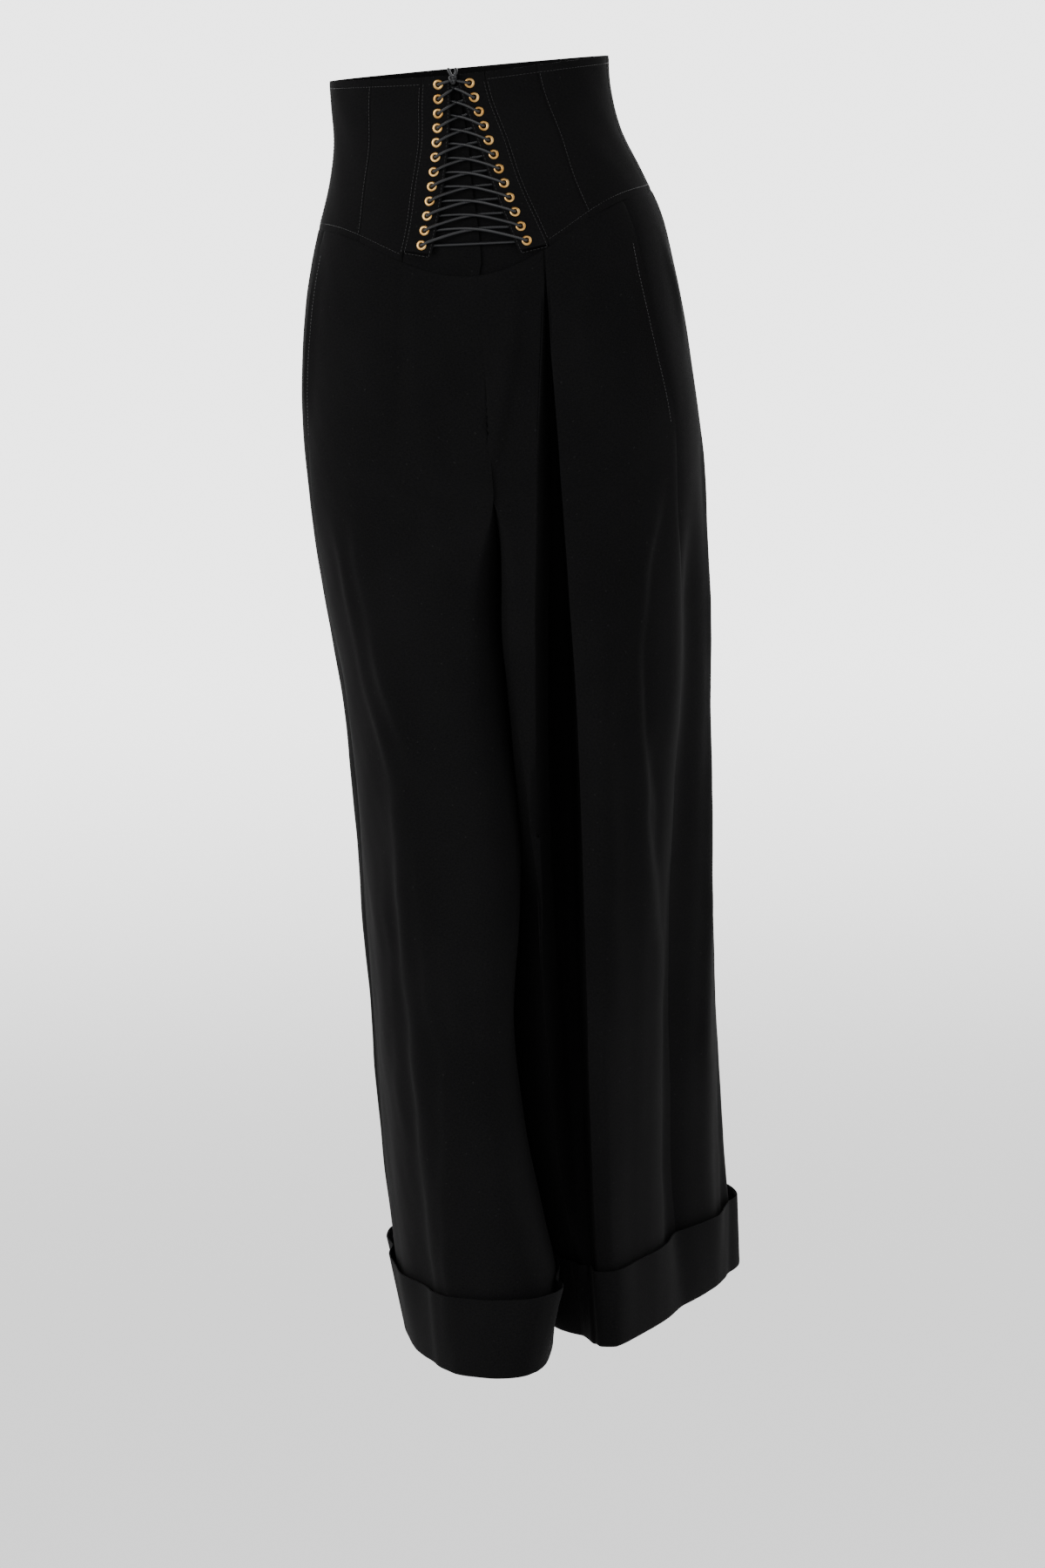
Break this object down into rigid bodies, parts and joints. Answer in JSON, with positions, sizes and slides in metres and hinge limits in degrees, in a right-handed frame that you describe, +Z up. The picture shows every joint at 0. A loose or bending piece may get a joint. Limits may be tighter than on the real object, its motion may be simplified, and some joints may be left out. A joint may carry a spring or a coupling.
{
  "type": "palazzo pants",
  "caption": "Wide high-waisted pants with a laced corset waistband, an open inverted pleat, side-seam pockets and turned-up cuffs, kept in their hollow worn form.",
  "frame": {"origin": "middle of the natural waist, inside the waistband, where the wearer's body holds the garment up", "axes": "+Z up along the body; the front faces -Y; +X is the wearer's left"},
  "size_m": [0.3469, 0.422, 1.1155],
  "materials": {
    "black_crepe": "matt black crepe suiting",
    "black_band_crepe": "matt black crepe, stiffened",
    "black_pocketing": "matt black pocketing",
    "gold_brass": "polished gold-coloured brass",
    "blue_black_satin": "satin rat-tail cord"
  },
  "bodies": {
    "root": {"leg_front_right": "black_crepe", "leg_back_right": "black_crepe", "pocket_facing_right": "black_pocketing", "cuff_right": "black_crepe", "lacing_flap_right": "black_band_crepe", "band_front_right": "black_band_crepe", "band_side_right": "black_band_crepe", "band_back_right": "black_band_crepe", "underlay_right": "black_band_crepe", "leg_front_left": "black_crepe", "leg_back_left": "black_crepe", "pocket_facing_left": "black_pocketing", "cuff_left": "black_crepe", "lacing_flap_left": "black_band_crepe", "band_front_left": "black_band_crepe", "band_side_left": "black_band_crepe", "band_back_left": "black_band_crepe", "underlay_left": "black_band_crepe", "lace": "blue_black_satin", "lace_knot": "blue_black_satin", "eyelet_right_01": "gold_brass", "eyelet_right_02": "gold_brass", "eyelet_right_03": "gold_brass", "eyelet_right_04": "gold_brass", "eyelet_right_05": "gold_brass", "eyelet_right_06": "gold_brass", "eyelet_right_07": "gold_brass", "eyelet_right_08": "gold_brass", "eyelet_right_09": "gold_brass", "eyelet_right_10": "gold_brass", "eyelet_right_11": "gold_brass", "eyelet_right_12": "gold_brass", "eyelet_left_01": "gold_brass", "eyelet_left_02": "gold_brass", "eyelet_left_03": "gold_brass", "eyelet_left_04": "gold_brass", "eyelet_left_05": "gold_brass", "eyelet_left_06": "gold_brass", "eyelet_left_07": "gold_brass", "eyelet_left_08": "gold_brass", "eyelet_left_09": "gold_brass", "eyelet_left_10": "gold_brass", "eyelet_left_11": "gold_brass", "eyelet_left_12": "gold_brass"}
  },
  "joints": []
}
